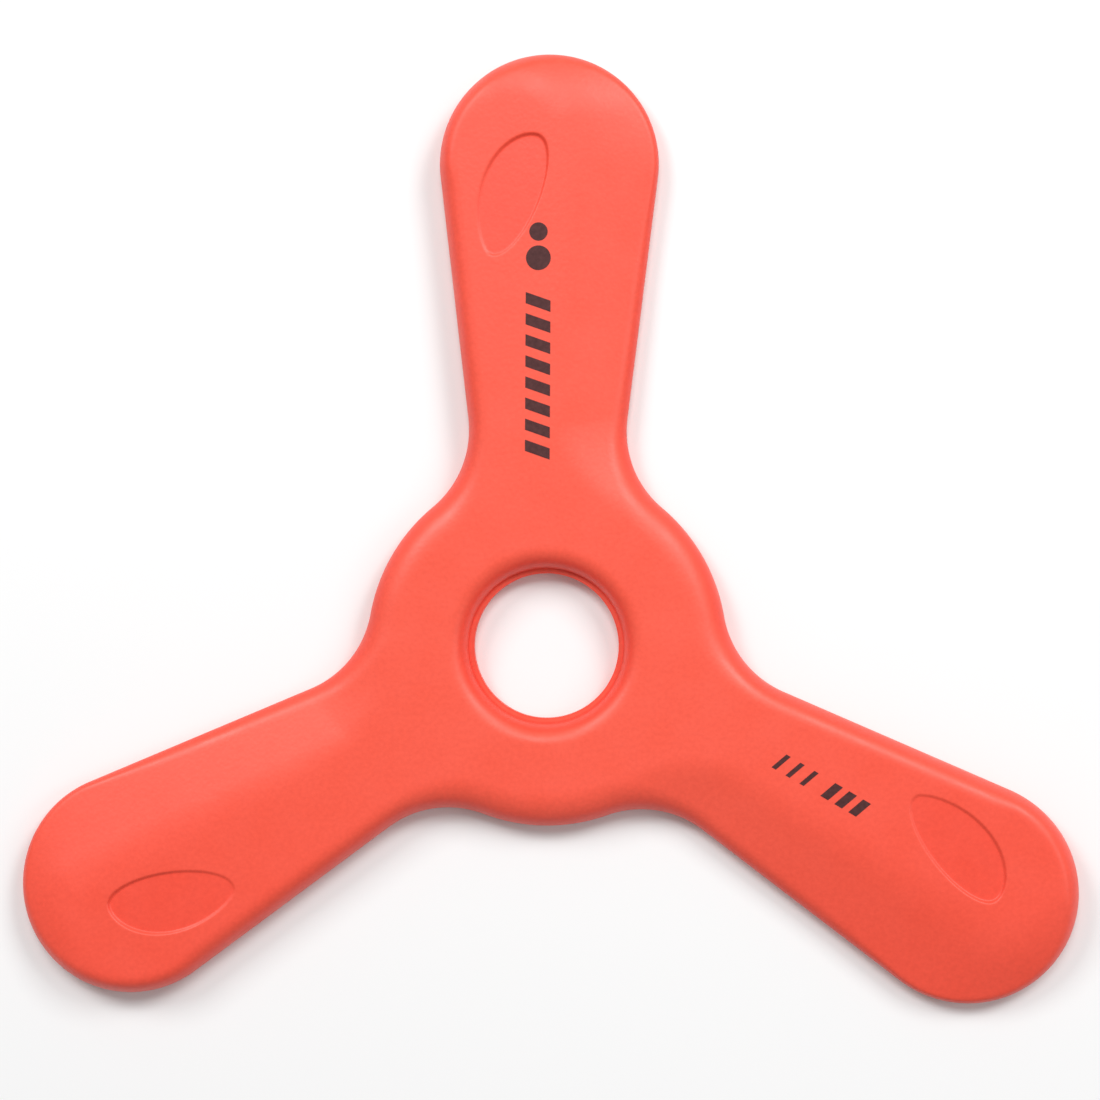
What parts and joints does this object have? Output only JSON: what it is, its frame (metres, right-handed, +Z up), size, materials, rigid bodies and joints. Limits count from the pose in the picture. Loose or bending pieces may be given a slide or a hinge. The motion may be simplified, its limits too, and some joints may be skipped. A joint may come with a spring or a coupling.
{
  "type": "boomerang",
  "caption": "Soft returning boomerang for the right hand: rounded foam wings joined at a round hub with an open centre hole, over a hidden flexible core.",
  "frame": {"origin": "centre of the hub's hole, on the flat underside", "axes": "+Z up through the hole and out of the moulded top, +Y along one wing"},
  "size_m": [0.2672, 0.2389, 0.0101],
  "materials": {
    "coral_foam": "satin foam skin with a fine leathery grain",
    "core_plastic": "matte natural plastic",
    "dark_ink": "matte printed ink"
  },
  "bodies": {
    "root": {"upper_foam": "coral_foam", "lower_foam": "coral_foam", "core_frame": "core_plastic", "wing_bars": "dark_ink", "wing_dots": "dark_ink", "side_bars": "dark_ink"}
  },
  "joints": []
}
